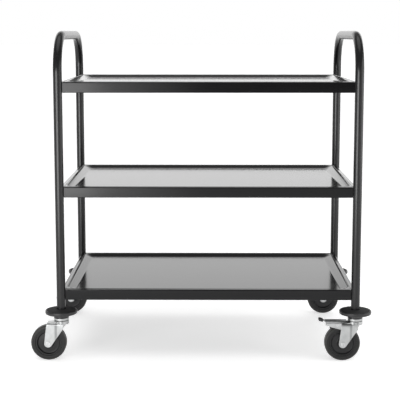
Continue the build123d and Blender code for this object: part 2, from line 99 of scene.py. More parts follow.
def add_node(tree: bpy.types.NodeTree, kind: str, settings: dict, inputs: dict) -> bpy.types.Node:
    """Adds one node with its settings and its inputs.

    Args:
        tree: The node tree to add to.
        kind: Blender's name for the node's type.
        settings: The node's own properties.
        inputs: By name or number, a value for the socket or another node's output to link to it.

    Returns:
        The new node.
    """
    node = tree.nodes.new(kind)
    for name, value in settings.items():
        setattr(node, name, value)
    for name, value in inputs.items():
        if isinstance(value, bpy.types.NodeSocket):
            tree.links.new(value, node.inputs[name])
        else:
            node.inputs[name].default_value = value
    return node


@dataclass(frozen=True)
class Finish:
    """A surface as it was made.

    Pattern sizes are in millimetres. Painted shade darkens the colour where a point has little open sky
    above it.
    """

    name: str
    colour: str
    cloud_colour: str
    roughness: float
    roughness_spread: float
    grain_mm: float
    relief_mm: float
    cloud_mm: float = 90.0
    cloud_detail: float = 3.0
    grain_detail: float = 2.0
    noise_low: float = 0.3
    noise_high: float = 0.7
    metallic: float = 0.0
    ior: float = 1.5
    grain: Grain = Grain.EVEN
    hair_length_mm: float = 160.0
    end_facing: float = 0.7
    dust_colour: str = ""
    painted_shade_colour: str = ""
    painted_shade_mm: float = 5.0
    painted_shade_rays: int = 8
    fully_shaded_sky: float = 0.1
    unshaded_sky: float = 0.5
    matt_roughness: float = 0.0
    glow: float = 0.0

    def material(self) -> bpy.types.Material:
        """Makes the finish's material, or finds it if it was made before.

        Returns:
            The material.
        """
        made = bpy.data.materials.get(self.name)
        if made is None:
            made = bpy.data.materials.new(self.name)
            made.use_nodes = True
            made.node_tree.nodes.clear()
            self._shade(made.node_tree)
        return made

    def _shade(self, tree: bpy.types.NodeTree) -> None:
        """Builds the shader with cloudy colour, painted shade where it is set, uneven gloss and a fine
        relief.

        Args:
            tree: The material's empty node tree.
        """
        place = add_node(tree, "ShaderNodeTexCoord", {}, {}).outputs["Object"]
        clouds = {"Vector": place, "Scale": 1 / (self.cloud_mm * MM), "Detail": self.cloud_detail}
        cloud = add_node(tree, "ShaderNodeTexNoise", {}, clouds).outputs["Fac"]
        grains = {
            "Vector": self._grain_place(tree, place),
            "Scale": 1 / (self.grain_mm * MM),
            "Detail": self.grain_detail,
        }
        grain = add_node(tree, "ShaderNodeTexNoise", {}, grains).outputs["Fac"]
        reach = {"From Min": self.noise_low, "From Max": self.noise_high}
        cloud_share = add_node(tree, "ShaderNodeMapRange", {}, {"Value": cloud, **reach})
        colours = {0: cloud_share.outputs["Result"], 6: linear(self.colour), 7: linear(self.cloud_colour)}
        colour = add_node(tree, "ShaderNodeMix", {"data_type": "RGBA"}, colours).outputs[2]
        if self.dust_colour:
            colour = self._dusted(tree, colour, cloud)
        # Painted shade: the colour is darkened by ambient occlusion in corners and gaps.
        if self.painted_shade_colour:
            colour = self._with_painted_shade(tree, colour)
        glosses = {
            "Value": grain,
            **reach,
            "To Min": self.roughness - self.roughness_spread,
            "To Max": self.roughness + self.roughness_spread,
        }
        gloss = add_node(tree, "ShaderNodeMapRange", {}, glosses).outputs["Result"]
        if self.matt_roughness:
            matt = add_node(tree, "ShaderNodeAttribute", {"attribute_name": "matt"}, {}).outputs["Fac"]
            share = {0: matt, 2: gloss, 3: self.matt_roughness}
            gloss = add_node(tree, "ShaderNodeMix", {"data_type": "FLOAT"}, share).outputs[0]
        relief = add_node(tree, "ShaderNodeBump", {}, {"Height": grain, "Distance": self.relief_mm * MM})
        surface = {
            "Base Color": colour,
            "Roughness": gloss,
            "Normal": relief.outputs["Normal"],
            "Metallic": self.metallic,
            "IOR": self.ior,
            "Emission Color": linear("ffffff"),
            "Emission Strength": self.glow,
        }
        shader = add_node(tree, "ShaderNodeBsdfPrincipled", {}, surface)
        add_node(tree, "ShaderNodeOutputMaterial", {}, {"Surface": shader.outputs["BSDF"]})

    def _grain_place(self, tree: bpy.types.NodeTree, place: bpy.types.NodeSocket) -> bpy.types.NodeSocket:
        """Draws the place out along the brushing: lengthwise, and upright where the sheet is bent down.

        Args:
            tree: The node tree to add to.
            place: The place on the piece.

        Returns:
            The place at which the grain is read.
        """
        if self.grain is Grain.EVEN:
            return place
        squeeze = self.grain_mm / self.hair_length_mm
        multiply = {"operation": "MULTIPLY"}
        flat = add_node(tree, "ShaderNodeVectorMath", multiply, {0: place, 1: (squeeze, 1, 1)})
        bent = add_node(tree, "ShaderNodeVectorMath", multiply, {0: place, 1: (1, 1, squeeze)})
        normal = add_node(tree, "ShaderNodeNewGeometry", {}, {}).outputs["True Normal"]
        facing = add_node(tree, "ShaderNodeSeparateXYZ", {}, {"Vector": normal}).outputs["X"]
        size = add_node(tree, "ShaderNodeMath", {"operation": "ABSOLUTE"}, {0: facing}).outputs["Value"]
        limit = {0: size, 1: self.end_facing}
        at_end = add_node(tree, "ShaderNodeMath", {"operation": "GREATER_THAN"}, limit)
        choice = {0: at_end.outputs["Value"], 4: flat.outputs["Vector"], 5: bent.outputs["Vector"]}
        return add_node(tree, "ShaderNodeMix", {"data_type": "VECTOR"}, choice).outputs[1]

    def _dusted(
        self, tree: bpy.types.NodeTree, colour: bpy.types.NodeSocket, cloud: bpy.types.NodeSocket
    ) -> bpy.types.NodeSocket:
        """Lays floor dust on the colour where the piece's own dust attribute says so.

        Args:
            tree: The node tree to add to.
            colour: The clean colour.
            cloud: A cloud that breaks the dust up.

        Returns:
            The dusted colour.
        """
        dust = add_node(tree, "ShaderNodeAttribute", {"attribute_name": "dust"}, {}).outputs["Fac"]
        share = add_node(tree, "ShaderNodeMath", {"operation": "MULTIPLY"}, {0: dust, 1: cloud})
        colours = {0: share.outputs["Value"], 6: colour, 7: linear(self.dust_colour)}
        return add_node(tree, "ShaderNodeMix", {"data_type": "RGBA"}, colours).outputs[2]

    def _with_painted_shade(self, tree: bpy.types.NodeTree, colour: bpy.types.NodeSocket) -> bpy.types.NodeSocket:
        """Paints shade into the colour in corners and narrow gaps, where little open sky reaches.

        Args:
            tree: The node tree to add to.
            colour: The clean colour.

        Returns:
            The colour with painted shade.
        """
        rays = {"samples": self.painted_shade_rays}
        # Ambient occlusion over a few millimetres decides where shade is painted.
        sky = add_node(tree, "ShaderNodeAmbientOcclusion", rays, {"Distance": self.painted_shade_mm * MM})
        ramp = {
            "Value": sky.outputs["AO"],
            "From Min": self.fully_shaded_sky,
            "From Max": self.unshaded_sky,
            "To Min": 1.0,
            "To Max": 0.0,
        }
        share = add_node(tree, "ShaderNodeMapRange", {}, ramp).outputs["Result"]
        colours = {0: share, 6: colour, 7: linear(self.painted_shade_colour)}
        return add_node(tree, "ShaderNodeMix", {"data_type": "RGBA"}, colours).outputs[2]


FINISHES = {
    # Black powder coat on drawn tube: a satin skin with a fine orange peel that softens every reflection.
    "black_coated_steel": Finish(
        name="satin_black_powder_coat",
        colour="131314",
        cloud_colour="171718",
        roughness=0.25,
        roughness_spread=0.03,
        grain_mm=1.6,
        relief_mm=0.006,
        ior=1.4,
    ),
    # Black coat over brushed sheet: dark face on, bright at a low angle, with lengthwise hairlines.
    # Real hairlines are about 0.2 mm apart and are drawn 0.7 mm apart so that they show close up.
    "black_brushed_steel": Finish(
        name="black_coated_brushed_sheet",
        colour="08080a",
        cloud_colour="0b0b0c",
        roughness=0.15,
        roughness_spread=0.02,
        grain_mm=0.7,
        relief_mm=0.002,
        ior=1.33,
        grain=Grain.HAIRLINE,
    ),
    # Zinc plated turned steel: small bright faces with a slightly milky gloss, and painted shade in its
    # corners and gaps.
    "fastener_steel": Finish(
        name="zinc_plated_fastener",
        colour="c6c7c7",
        cloud_colour="b2b3b3",
        roughness=0.3,
        roughness_spread=0.06,
        grain_mm=0.8,
        relief_mm=0.01,
        cloud_mm=12.0,
        metallic=1.0,
        # painted shade in corners and gaps
        painted_shade_colour="3a3936",
        painted_shade_mm=2.5,
    ),
    # Bright zinc on pressed sheet: pale metal, cloudy from the bath, dull where the press drew it out,
    # and with painted shade darkening its corners and narrow gaps.
    "zinc_plated_steel": Finish(
        name="bright_zinc_plated_pressing",
        colour="b5b6b6",
        cloud_colour="a4a5a5",
        roughness=0.34,
        roughness_spread=0.05,
        grain_mm=1.2,
        relief_mm=0.015,
        cloud_mm=18.0,
        metallic=1.0,
        # painted shade in corners and gaps
        painted_shade_colour="3a3936",
        matt_roughness=0.85,
    ),
    # Ground bearing balls: near mirrors.
    "bearing_steel": Finish(
        name="ground_bearing_steel",
        colour="c4c5c7",
        cloud_colour="b9babc",
        roughness=0.12,
        roughness_spread=0.03,
        grain_mm=0.6,
        relief_mm=0.002,
        cloud_mm=5.0,
        metallic=1.0,
    ),
    # Zinc plated pedal, dulled by shoes, with painted shade darkening its bends and narrow gaps.
    "pedal_steel": Finish(
        name="scuffed_zinc_plated_pedal",
        colour="c2c3c3",
        cloud_colour="a4a5a5",
        roughness=0.4,
        roughness_spread=0.08,
        grain_mm=1.0,
        relief_mm=0.02,
        cloud_mm=9.0,
        metallic=1.0,
        # painted shade in bends and gaps
        painted_shade_colour="3a3936",
    ),
    # Moulded rubber: smooth where the rim was polished in the mould, and matt on the textured dome.
    "bumper_rubber": Finish(
        name="moulded_black_rubber",
        colour="131314",
        cloud_colour="171718",
        roughness=0.36,
        roughness_spread=0.05,
        grain_mm=0.9,
        relief_mm=0.02,
        cloud_mm=25.0,
        matt_roughness=0.8,
    ),
    # Tyre rubber: near black with a dull sheen, dusty on the tread.
    "tyre_rubber": Finish(
        name="moulded_tyre_rubber",
        colour="131313",
        cloud_colour="181818",
        roughness=0.5,
        roughness_spread=0.06,
        grain_mm=0.8,
        relief_mm=0.02,
        cloud_mm=14.0,
        ior=1.4,
        dust_colour="4b4a47",
    ),
    # Moulded polypropylene: smooth, dark and slightly waxy.
    "wheel_plastic": Finish(
        name="moulded_polypropylene",
        colour="121213",
        cloud_colour="171718",
        roughness=0.4,
        roughness_spread=0.05,
        grain_mm=1.1,
        relief_mm=0.01,
        cloud_mm=20.0,
        ior=1.4,
    ),
    # Natural nylon: pale and waxy.
    "bush_plastic": Finish(
        name="natural_nylon",
        colour="cfcbc0",
        cloud_colour="c3beb2",
        roughness=0.45,
        roughness_spread=0.05,
        grain_mm=0.8,
        relief_mm=0.01,
        cloud_mm=8.0,
    ),
    # Moulded expander: plain black nylon.
    "expander_plastic": Finish(
        name="black_nylon",
        colour="2a2a2b",
        cloud_colour="303031",
        roughness=0.45,
        roughness_spread=0.05,
        grain_mm=0.8,
        relief_mm=0.01,
        cloud_mm=10.0,
    ),
    # Soft cap rubber: matt, with worn grey patches.
    "cap_rubber": Finish(
        name="soft_black_rubber",
        colour="161617",
        cloud_colour="222223",
        roughness=0.55,
        roughness_spread=0.06,
        grain_mm=0.7,
        relief_mm=0.02,
        cloud_mm=6.0,
    ),
}


def finish_of(node: str) -> Finish:
    """The finish of a node's material slot."""
    return FINISHES[NODE_SLOT[node]]


def make_piece(bm: bmesh.types.BMesh, name: str, node: str, sharp_degrees: float = 40.0) -> bpy.types.Object:
    """Turns a bmesh into a piece that stands for a node of the frame.

    Args:
        bm: The finished bmesh, which is freed.
        name: The piece's name.
        node: The node whose body, slot and finish the piece takes and which it replaces.
        sharp_degrees: Edges that turn by more than this keep a hard line.

    Returns:
        The piece.
    """
    mesh = bpy.data.meshes.new(name)
    bm.to_mesh(mesh)
    bm.free()
    mesh.shade_smooth()
    mesh.set_sharp_from_angle(angle=math.radians(sharp_degrees))
    mesh.materials.append(finish_of(node).material())
    piece = bpy.data.objects.new(name, mesh)
    bpy.context.scene.collection.objects.link(piece)
    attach(piece, NODE_BODY[node])
    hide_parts(node)
    LOG.info("%s: %d faces on %s", name, len(mesh.polygons), NODE_BODY[node])
    return piece


def mark_points(piece: bpy.types.Object, name: str, mark: Callable[[Vector], float]) -> None:
    """Writes a value at each point of a piece for its finish to read.

    Args:
        piece: The piece.
        name: The attribute's name.
        mark: Gives a point's value from its place.
    """
    values = piece.data.attributes.new(name, "FLOAT", "POINT")
    for point, value in zip(piece.data.vertices, values.data):
        value.value = mark(point.co)


def mark_faces(piece: bpy.types.Object, name: str, mark: Callable[[Vector], float]) -> None:
    """Writes a value at each face of a piece for its finish to read.

    Args:
        piece: The piece.
        name: The attribute's name.
        mark: Gives a face's value from the way it faces.
    """
    values = piece.data.attributes.new(name, "FLOAT", "FACE")
    for face, value in zip(piece.data.polygons, values.data):
        value.value = mark(face.normal)


def even_normals(piece: bpy.types.Object) -> None:
    """Keeps flat faces flat to the eye beside their rounded edges."""
    modifier = piece.modifiers.new("even_normals", "WEIGHTED_NORMAL")
    modifier.keep_sharp = True


def thicken(piece: bpy.types.Object, wall: float) -> None:
    """Gives a sheet its wall, inwards from its outer face.

    Args:
        piece: The sheet.
        wall: How thick the wall is.
    """
    modifier = piece.modifiers.new("wall", "SOLIDIFY")
    modifier.thickness = wall
    modifier.offset = -1.0
    modifier.use_even_offset = True


@dataclass(frozen=True)
class Corner:
    """A corner of a turned outline: radius and height in millimetres, and how far back its edge is eased."""

    radius: float
    height: float
    ease: float = 0.0


def turned(
    outline: Sequence[Corner], centre: Vector, axis: Vector, segments: int, ease_steps: int = 5
) -> bmesh.types.BMesh:
    """Spins a closed outline into a ring.

    Args:
        outline: The corners, in order round the section.
        centre: The point on the axis where heights start.
        axis: The direction of the heights.
        segments: The number of faces round the ring.
        ease_steps: The number of faces round each eased corner.

    Returns:
        A closed bmesh.
    """
    bm = bmesh.new()
    out = axis.orthogonal().normalized()
    verts = [bm.verts.new(centre + (out * c.radius + axis * c.height) * MM) for c in outline]
    for first, second in zip(verts, verts[1:] + verts[:1]):
        bm.edges.new((first, second))
    for vert, corner in zip(verts, outline):
        if corner.ease:
            bmesh.ops.bevel(
                bm,
                geom=[vert],
                offset=corner.ease * MM,
                offset_type="OFFSET",
                segments=ease_steps,
                profile=0.5,
                affect="VERTICES",
                material=-1,
            )
    bmesh.ops.spin(
        bm,
        geom=bm.verts[:] + bm.edges[:],
        cent=centre,
        axis=axis,
        dvec=Vector(),
        angle=math.tau,
        steps=segments,
        use_merge=True,
    )
    bmesh.ops.remove_doubles(bm, verts=bm.verts, dist=MERGE_DISTANCE)
    bmesh.ops.recalc_face_normals(bm, faces=bm.faces)
    return bm


def mirrored(half: Sequence[Corner]) -> list[Corner]:
    """Completes an outline with its mirror image beyond height zero."""
    return [*half, *(Corner(c.radius, -c.height, c.ease) for c in reversed(half))]


def bevel_edges(
    bm: bmesh.types.BMesh, edges: Iterable[bmesh.types.BMEdge], width: float, steps: int
) -> None:
    """Rounds edges over a width on each side.

    Args:
        bm: The bmesh that holds the edges.
        edges: The edges to round.
        width: How far back the rounding starts.
        steps: The number of faces across it.
    """
    bmesh.ops.bevel(
        bm,
        geom=list(edges),
        offset=width,
        offset_type="OFFSET",
        segments=steps,
        profile=0.5,
        affect="EDGES",
        material=-1,
    )


@dataclass
class EndFrame:
    """One tube bent into two posts and a push handle."""

    node: str
    wall: float = 1.5 * MM
    bend_radius: float = 100.0 * MM
    segments: int = 48
    bend_steps: int = 28

    def build(self) -> bpy.types.Object:
        """Runs a ring of edges up a post, over the handle and down the other post.

        Returns:
            The tube.
        """
        low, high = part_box(self.node)
        radius = (high.x - low.x) / 2
        middle = (low + high) / 2
        near, far, top = low.y + radius, high.y - radius, high.z - radius
        bend = self.bend_radius
        bm = bmesh.new()
        foot = Matrix.Translation((middle.x, near, low.z))
        bmesh.ops.create_circle(bm, cap_ends=False, segments=self.segments, radius=radius, matrix=foot)
        edges = self._run(bm, bm.edges[:], UP * (top - bend - low.z))
        edges = self._bend(bm, edges, Vector((middle.x, near + bend, top - bend)))
        edges = self._run(bm, edges, ACROSS * (far - near - 2 * bend))
        edges = self._bend(bm, edges, Vector((middle.x, far - bend, top - bend)))
        self._run(bm, edges, UP * (low.z - top + bend))
        bmesh.ops.remove_doubles(bm, verts=bm.verts, dist=MERGE_DISTANCE)
        bmesh.ops.recalc_face_normals(bm, faces=bm.faces)
        piece = make_piece(bm, f"{self.node}_tube", self.node)
        thicken(piece, self.wall)
        even_normals(piece)
        return piece

    def _run(
        self, bm: bmesh.types.BMesh, edges: list[bmesh.types.BMEdge], way: Vector
    ) -> list[bmesh.types.BMEdge]:
        """Draws a ring of edges out straight.

        Args:
            bm: The tube's bmesh.
            edges: The ring at the tube's end.
            way: How far and where it is drawn.

        Returns:
            The ring at the new end.
        """
        drawn = bmesh.ops.extrude_edge_only(bm, edges=edges)["geom"]
        bmesh.ops.translate(bm, verts=[v for v in drawn if isinstance(v, bmesh.types.BMVert)], vec=way)
        return [e for e in drawn if isinstance(e, bmesh.types.BMEdge)]

    def _bend(
        self, bm: bmesh.types.BMesh, edges: list[bmesh.types.BMEdge], centre: Vector
    ) -> list[bmesh.types.BMEdge]:
        """Spins a ring of edges through a quarter turn.

        Args:
            bm: The tube's bmesh.
            edges: The ring at the tube's end.
            centre: The middle of the bend.

        Returns:
            The ring at the new end.
        """
        ring = list({v for e in edges for v in e.verts})
        spun = bmesh.ops.spin(
            bm,
            geom=ring + edges,
            cent=centre,
            axis=ALONG,
            dvec=Vector(),
            angle=-math.pi / 2,
            steps=self.bend_steps,
        )
        return [e for e in spun["geom_last"] if isinstance(e, bmesh.types.BMEdge)]


@dataclass
class TrayShelf:
    """A pressed tray: flat rim, sloped band, sunk floor, and a skirt turned down and hemmed."""

    node: str
    sheet: float = 1.0 * MM
    rim_width: float = 15.0 * MM
    slope_width: float = 22.0 * MM
    sink: float = 7.5 * MM
    rim_corner: float = 26.0 * MM
    floor_corner: float = 10.0 * MM
    hem_width: float = 12.0 * MM
    post_gap: float = 0.2 * MM
    press_ease: float = 3.5 * MM
    press_steps: int = 4
    edge_bend: float = 3.0 * MM
    edge_steps: int = 4
    hem_bend: float = 1.6 * MM
    hem_steps: int = 3
    corner_steps: int = 10
    low: Vector = field(init=False)
    high: Vector = field(init=False)

    def __post_init__(self) -> None:
        """Takes the tray's box from the frame."""
        self.low, self.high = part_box(self.node)

    def build(self) -> bpy.types.Object:
        """Presses the tray, turns its skirt down, hems it and rounds its bends.

        Returns:
            The tray.
        """
        bm = bmesh.new()
        top, bottom = self.high.z, self.low.z
        fold = self._outline(bm, top)
        rim = self._rounded_loop(bm, self.rim_width, self.rim_corner, top)
        floor_inset = self.rim_width + self.slope_width
        floor = self._rounded_loop(bm, floor_inset, self.floor_corner, top - self.sink)
        bmesh.ops.triangle_fill(bm, use_beauty=True, use_dissolve=False, edges=fold + rim, normal=UP)
        bmesh.ops.bridge_loops(bm, edges=rim + floor)
        bmesh.ops.contextual_create(bm, geom=floor)
        skirt = bmesh.ops.extrude_edge_only(bm, edges=fold)["geom"]
        skirt_foot = [v for v in skirt if isinstance(v, bmesh.types.BMVert)]
        bmesh.ops.translate(bm, verts=skirt_foot, vec=UP * (bottom - top))
        hem_fold = [e for e in skirt if isinstance(e, bmesh.types.BMEdge)]
        hem_edge = self._rounded_loop(bm, self.hem_width, self.floor_corner, bottom)
        hem = hem_fold + hem_edge
        bmesh.ops.triangle_fill(bm, use_beauty=True, use_dissolve=False, edges=hem, normal=-UP)
        bevel_edges(bm, rim + floor, self.press_ease, self.press_steps)
        bevel_edges(bm, fold, self.edge_bend, self.edge_steps)
        bevel_edges(bm, hem_fold, self.hem_bend, self.hem_steps)
        bmesh.ops.recalc_face_normals(bm, faces=bm.faces)
        widest = max(bm.faces, key=lambda f: f.calc_area())
        if widest.normal.z < 0:
            bmesh.ops.reverse_faces(bm, faces=bm.faces)
        piece = make_piece(bm, f"{self.node}_pressing", self.node)
        thicken(piece, self.sheet)
        even_normals(piece)
        return piece

    def _outline(self, bm: bmesh.types.BMesh, height: float) -> list[bmesh.types.BMEdge]:
        """Draws the sheet's outline with a hollow corner round each post.

        Args:
            bm: The tray's empty bmesh.
            height: The outline's height.

        Returns:
            The outline's edges.
        """
        tube_low, tube_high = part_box("end_frame_left")
        hollow = (tube_high.x - tube_low.x) / 2 + self.post_gap
        arcs = []
        posts = [
            (Vector((self.low.x, self.low.y, height)), ACROSS),
            (Vector((self.high.x, self.low.y, height)), -ALONG),
            (Vector((self.high.x, self.high.y, height)), -ACROSS),
            (Vector((self.low.x, self.high.y, height)), ALONG),
        ]
        for post, start in posts:
            first = bm.verts.new(post + start * hollow)
            bmesh.ops.spin(
                bm,
                geom=[first],
                cent=post,
                axis=UP,
                dvec=Vector(),
                angle=-math.pi / 2,
                steps=self.corner_steps,
            )
            bm.verts.ensure_lookup_table()
            arcs.append((first, bm.verts[-1]))
        for (_, last), (first, _) in zip(arcs, arcs[1:] + arcs[:1]):
            bm.edges.new((last, first))
        return bm.edges[:]

    def _rounded_loop(
        self, bm: bmesh.types.BMesh, inset: float, corner: float, height: float
    ) -> list[bmesh.types.BMEdge]:
        """Draws a rounded rectangle inside the outline.

        Args:
            bm: The tray's bmesh.
            inset: How far the loop lies inside the outline.
            corner: The loop's corner radius.
            height: The loop's height.

        Returns:
            The loop's edges.
        """
        before = set(bm.edges)
        middle = (self.low + self.high) / 2
        half = (self.high - self.low) / 2
        size = Matrix.Diagonal((half.x - inset, half.y - inset, 1, 1))
        place = Matrix.Translation((middle.x, middle.y, height)) @ size
        grid = bmesh.ops.create_grid(bm, x_segments=1, y_segments=1, size=1.0, matrix=place)
        bmesh.ops.bevel(
            bm,
            geom=grid["verts"],
            offset=corner,
            offset_type="OFFSET",
            segments=self.corner_steps,
            profile=0.5,
            affect="VERTICES",
            material=-1,
        )
        loop = [e for e in bm.edges if e not in before]
        inside = list({f for e in loop for f in e.link_faces})
        bmesh.ops.delete(bm, geom=inside, context="FACES_ONLY")
        return loop


@dataclass
class Bumper:
    """A domed rubber disc with a beaded rim, on a collar round the foot of a post.

    Sizes are in millimetres. Radii are measured from the post's middle. The bead, groove, dome edge and
    dome shoulder give a radius and then a height above the rim's top.
    """

    node: str
    stem_hole: float = 6.1
    post_hole: float = 12.7
    mouth: float = 12.8
    crown: float = 17.5
    collar: float = 21.0
    radius: float = 45.0
    rim: float = 10.0
    rise: float = 3.0
    web: float = 6.9
    bead: tuple[float, float] = (42.4, 0.3)
    groove: tuple[float, float] = (41.3, -0.9)
    dome_edge: tuple[float, float] = (39.6, 0.8)
    dome_shoulder: tuple[float, float] = (29.0, 2.2)
    dome_margin: float = 1.0
    segments: int = 96

    def build(self) -> bpy.types.Object:
        """Spins the bumper's section about its post.

        Returns:
            The bumper.
        """
        low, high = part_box(self.node)
        foot = Vector(((low.x + high.x) / 2, (low.y + high.y) / 2, low.z))
        top = (high.z - low.z) / MM
        rim_top = top - self.rise
        rim_bottom = rim_top - self.rim
        outline = [
            Corner(self.stem_hole, 0.0),
            Corner(self.collar, 0.0, ease=0.8),
            Corner(self.collar, rim_bottom, ease=1.5),
            Corner(self.radius, rim_bottom, ease=3.0),
            Corner(self.radius, rim_top, ease=2.2),
            Corner(self.bead[0], rim_top + self.bead[1], ease=0.4),
            Corner(self.groove[0], rim_top + self.groove[1], ease=0.4),
            Corner(self.dome_edge[0], rim_top + self.dome_edge[1], ease=0.6),
            Corner(self.dome_shoulder[0], rim_top + self.dome_shoulder[1], ease=4.0),
            Corner(self.crown, top, ease=1.0),
            Corner(self.mouth, top, ease=0.6),
            Corner(self.post_hole, self.web),
            Corner(self.stem_hole, self.web),
        ]
        bm = turned(outline, foot, UP, self.segments)
        piece = make_piece(bm, f"{self.node}_moulding", self.node)
        even_normals(piece)
        mark_points(piece, "matt", lambda point: self._on_dome(point - foot, rim_bottom * MM))
        return piece

    def _on_dome(self, point: Vector, rim_bottom: float) -> float:
        """One on the textured dome inside the smooth rim, and nought elsewhere."""
        inside = math.hypot(point.x, point.y) < (self.dome_edge[0] + self.dome_margin) * MM
        return float(inside and point.z > rim_bottom)


@dataclass
class Wheel:
    """A tyre with a ring groove in each side, on a dished wheel centre.

    Sizes are in millimetres: radii from the axle, and halves of widths from the wheel's middle.
    """

    corner: str
    tyre_bore: float = 36.65
    tyre_seat_half: float = 12.6
    tyre_lip: float = 38.1
    tyre_half: float = 14.0
    tyre_radius: float = 50.0
    groove_mouth: tuple[float, float] = (41.2, 42.4)
    groove_floor: tuple[float, float] = (41.5, 42.1)
    groove_depth: float = 0.4
    shoulder: float = 6.0
    bush_hole: float = 6.1
    boss_radius: float = 12.5
    boss_half: float = 16.0
    boss_foot: float = 13.6
    boss_foot_half: float = 7.6
    dish_radius: float = 31.5
    dish_half: float = 6.0
    rim_inside: float = 32.6
    rim_radius: float = 36.5
    rim_half: float = 12.0
    dusty_tread: float = 5.0
    segments: int = 96

    def build(self) -> list[bpy.types.Object]:
        """Spins the tyre and the wheel centre about the axle.

        Returns:
            The tyre and the wheel centre.
        """
        low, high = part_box(f"tyre_{self.corner}")
        axle = (low + high) / 2
        side = -self.tyre_half
        groove_bottom = side + self.groove_depth
        tyre_outline = [
            Corner(self.tyre_bore, -self.tyre_seat_half),
            Corner(self.tyre_lip, side, ease=0.6),
            Corner(self.groove_mouth[0], side, ease=0.15),
            Corner(self.groove_floor[0], groove_bottom, ease=0.1),
            Corner(self.groove_floor[1], groove_bottom, ease=0.1),
            Corner(self.groove_mouth[1], side, ease=0.15),
            Corner(self.tyre_radius, side, ease=self.shoulder),
        ]
        hub_outline = [
            Corner(self.bush_hole, -self.boss_half, ease=0.5),
            Corner(self.boss_radius, -self.boss_half, ease=1.2),
            Corner(self.boss_foot, -self.boss_foot_half, ease=3.0),
            Corner(self.dish_radius, -self.dish_half, ease=3.5),
            Corner(self.rim_inside, -self.rim_half, ease=0.8),
            Corner(self.rim_radius, -self.rim_half, ease=0.6),
        ]
        tyre = make_piece(
            turned(mirrored(tyre_outline), axle, ACROSS, self.segments),
            f"tyre_{self.corner}_moulding",
            f"tyre_{self.corner}",
        )
        radius = (high.z - low.z) / 2
        mark_points(tyre, "dust", lambda point: self._dust(point - axle, radius))
        hub = make_piece(
            turned(mirrored(hub_outline), axle, ACROSS, self.segments),
            f"wheel_hub_{self.corner}_moulding",
            f"wheel_hub_{self.corner}",
        )
        for piece in (tyre, hub):
            even_normals(piece)
        return [tyre, hub]

    def _dust(self, out: Vector, radius: float) -> float:
        """How dusty a point of the tyre is, from none at the shoulder to one at the tread."""
        clean = radius - self.dusty_tread * MM
        return min(1.0, max(0.0, (math.hypot(out.x, out.z) - clean) / (radius - clean)))


@dataclass
class EasedNode:
    """A metal or rubber piece whose hard edges are eased as they come from the press or the mould."""

    node: str
    ease: float
    steps: int = 2
    edge_degrees: float = 30.0
    flat_degrees: float = 0.5
    sharp_degrees: float = 55.0

    def build(self) -> bpy.types.Object:
        """Copies the node's mesh, joins its triangles into faces and rounds its edges.

        Returns:
            The eased piece.
        """
        bm = bmesh.new()
        bm.from_mesh(frame["nodes"][self.node].data)
        bmesh.ops.remove_doubles(bm, verts=bm.verts, dist=MERGE_DISTANCE)
        bmesh.ops.dissolve_limit(
            bm,
            angle_limit=math.radians(self.flat_degrees),
            use_dissolve_boundaries=False,
            verts=bm.verts,
            edges=bm.edges,
            delimit=set(),
        )
        limit = math.radians(self.edge_degrees)
        bevel_edges(bm, [e for e in bm.edges if e.calc_face_angle(0.0) > limit], self.ease, self.steps)
        piece = make_piece(bm, f"{self.node}_eased", self.node, self.sharp_degrees)
        even_normals(piece)
        return piece


@dataclass
class JoggledFork(EasedNode):
    """A fork whose legs were drawn out towards the back. Leans are in degrees."""

    least_lean: float = 5.0
    most_lean: float = 20.0
    upright_limit: float = 0.05

    def build(self) -> bpy.types.Object:
        """Builds the fork and marks the bands that the press drew dull.

        Returns:
            The fork.
        """
        piece = super().build()
        mark_faces(piece, "matt", self._on_joggle)
        return piece

    def _on_joggle(self, normal: Vector) -> float:
        """One on the sloped band of a leg, and nought elsewhere."""
        lean = math.degrees(math.atan2(abs(normal.x), abs(normal.y)))
        return float(self.least_lean < lean < self.most_lean and abs(normal.z) < self.upright_limit)


@dataclass
class Trolley:
    """The whole trolley: its end frames, shelves, bumpers, wheels and castor metal."""

    sides: tuple[str, ...] = ("left", "right")
    shelves: tuple[str, ...] = ("top", "middle", "bottom")
    corners: tuple[str, ...] = ("front_left", "front_right", "rear_left", "rear_right")
    eased: tuple[tuple[str, type[EasedNode], float], ...] = (
        ("castor_fork", JoggledFork, 0.5 * MM),
        ("castor_head", EasedNode, 0.6 * MM),
        ("axle_bolt", EasedNode, 0.35 * MM),
        ("axle_nut", EasedNode, 0.5 * MM),
        ("brake_pedal", EasedNode, 0.4 * MM),
        ("pedal_cap", EasedNode, 0.7 * MM),
        ("brake_shoe", EasedNode, 0.6 * MM),
        ("pedal_pin", EasedNode, 0.3 * MM),
        ("kingpin_nuts", EasedNode, 0.5 * MM),
        ("shelf_bolts", EasedNode, 0.4 * MM),
    )

    def build(self) -> None:
        """Builds every piece and gives the nodes that stay their finishes."""
        for side in self.sides:
            EndFrame(f"end_frame_{side}").build()
        for shelf in self.shelves:
            TrayShelf(f"{shelf}_shelf").build()
        for corner in self.corners:
            Bumper(f"bumper_{corner}").build()
            Wheel(corner).build()
        for node in sorted(frame["nodes"]):
            for start, maker, ease in self.eased:
                if node.startswith(start):
                    maker(node, ease).build()
        self._dress_nodes()

    def _dress_nodes(self) -> None:
        """Gives each node of the frame its slot's finish."""
        for name, node in frame["nodes"].items():
            node.data.materials.clear()
            node.data.materials.append(finish_of(name).material())
            LOG.info("%s: %s", name, finish_of(name).name)


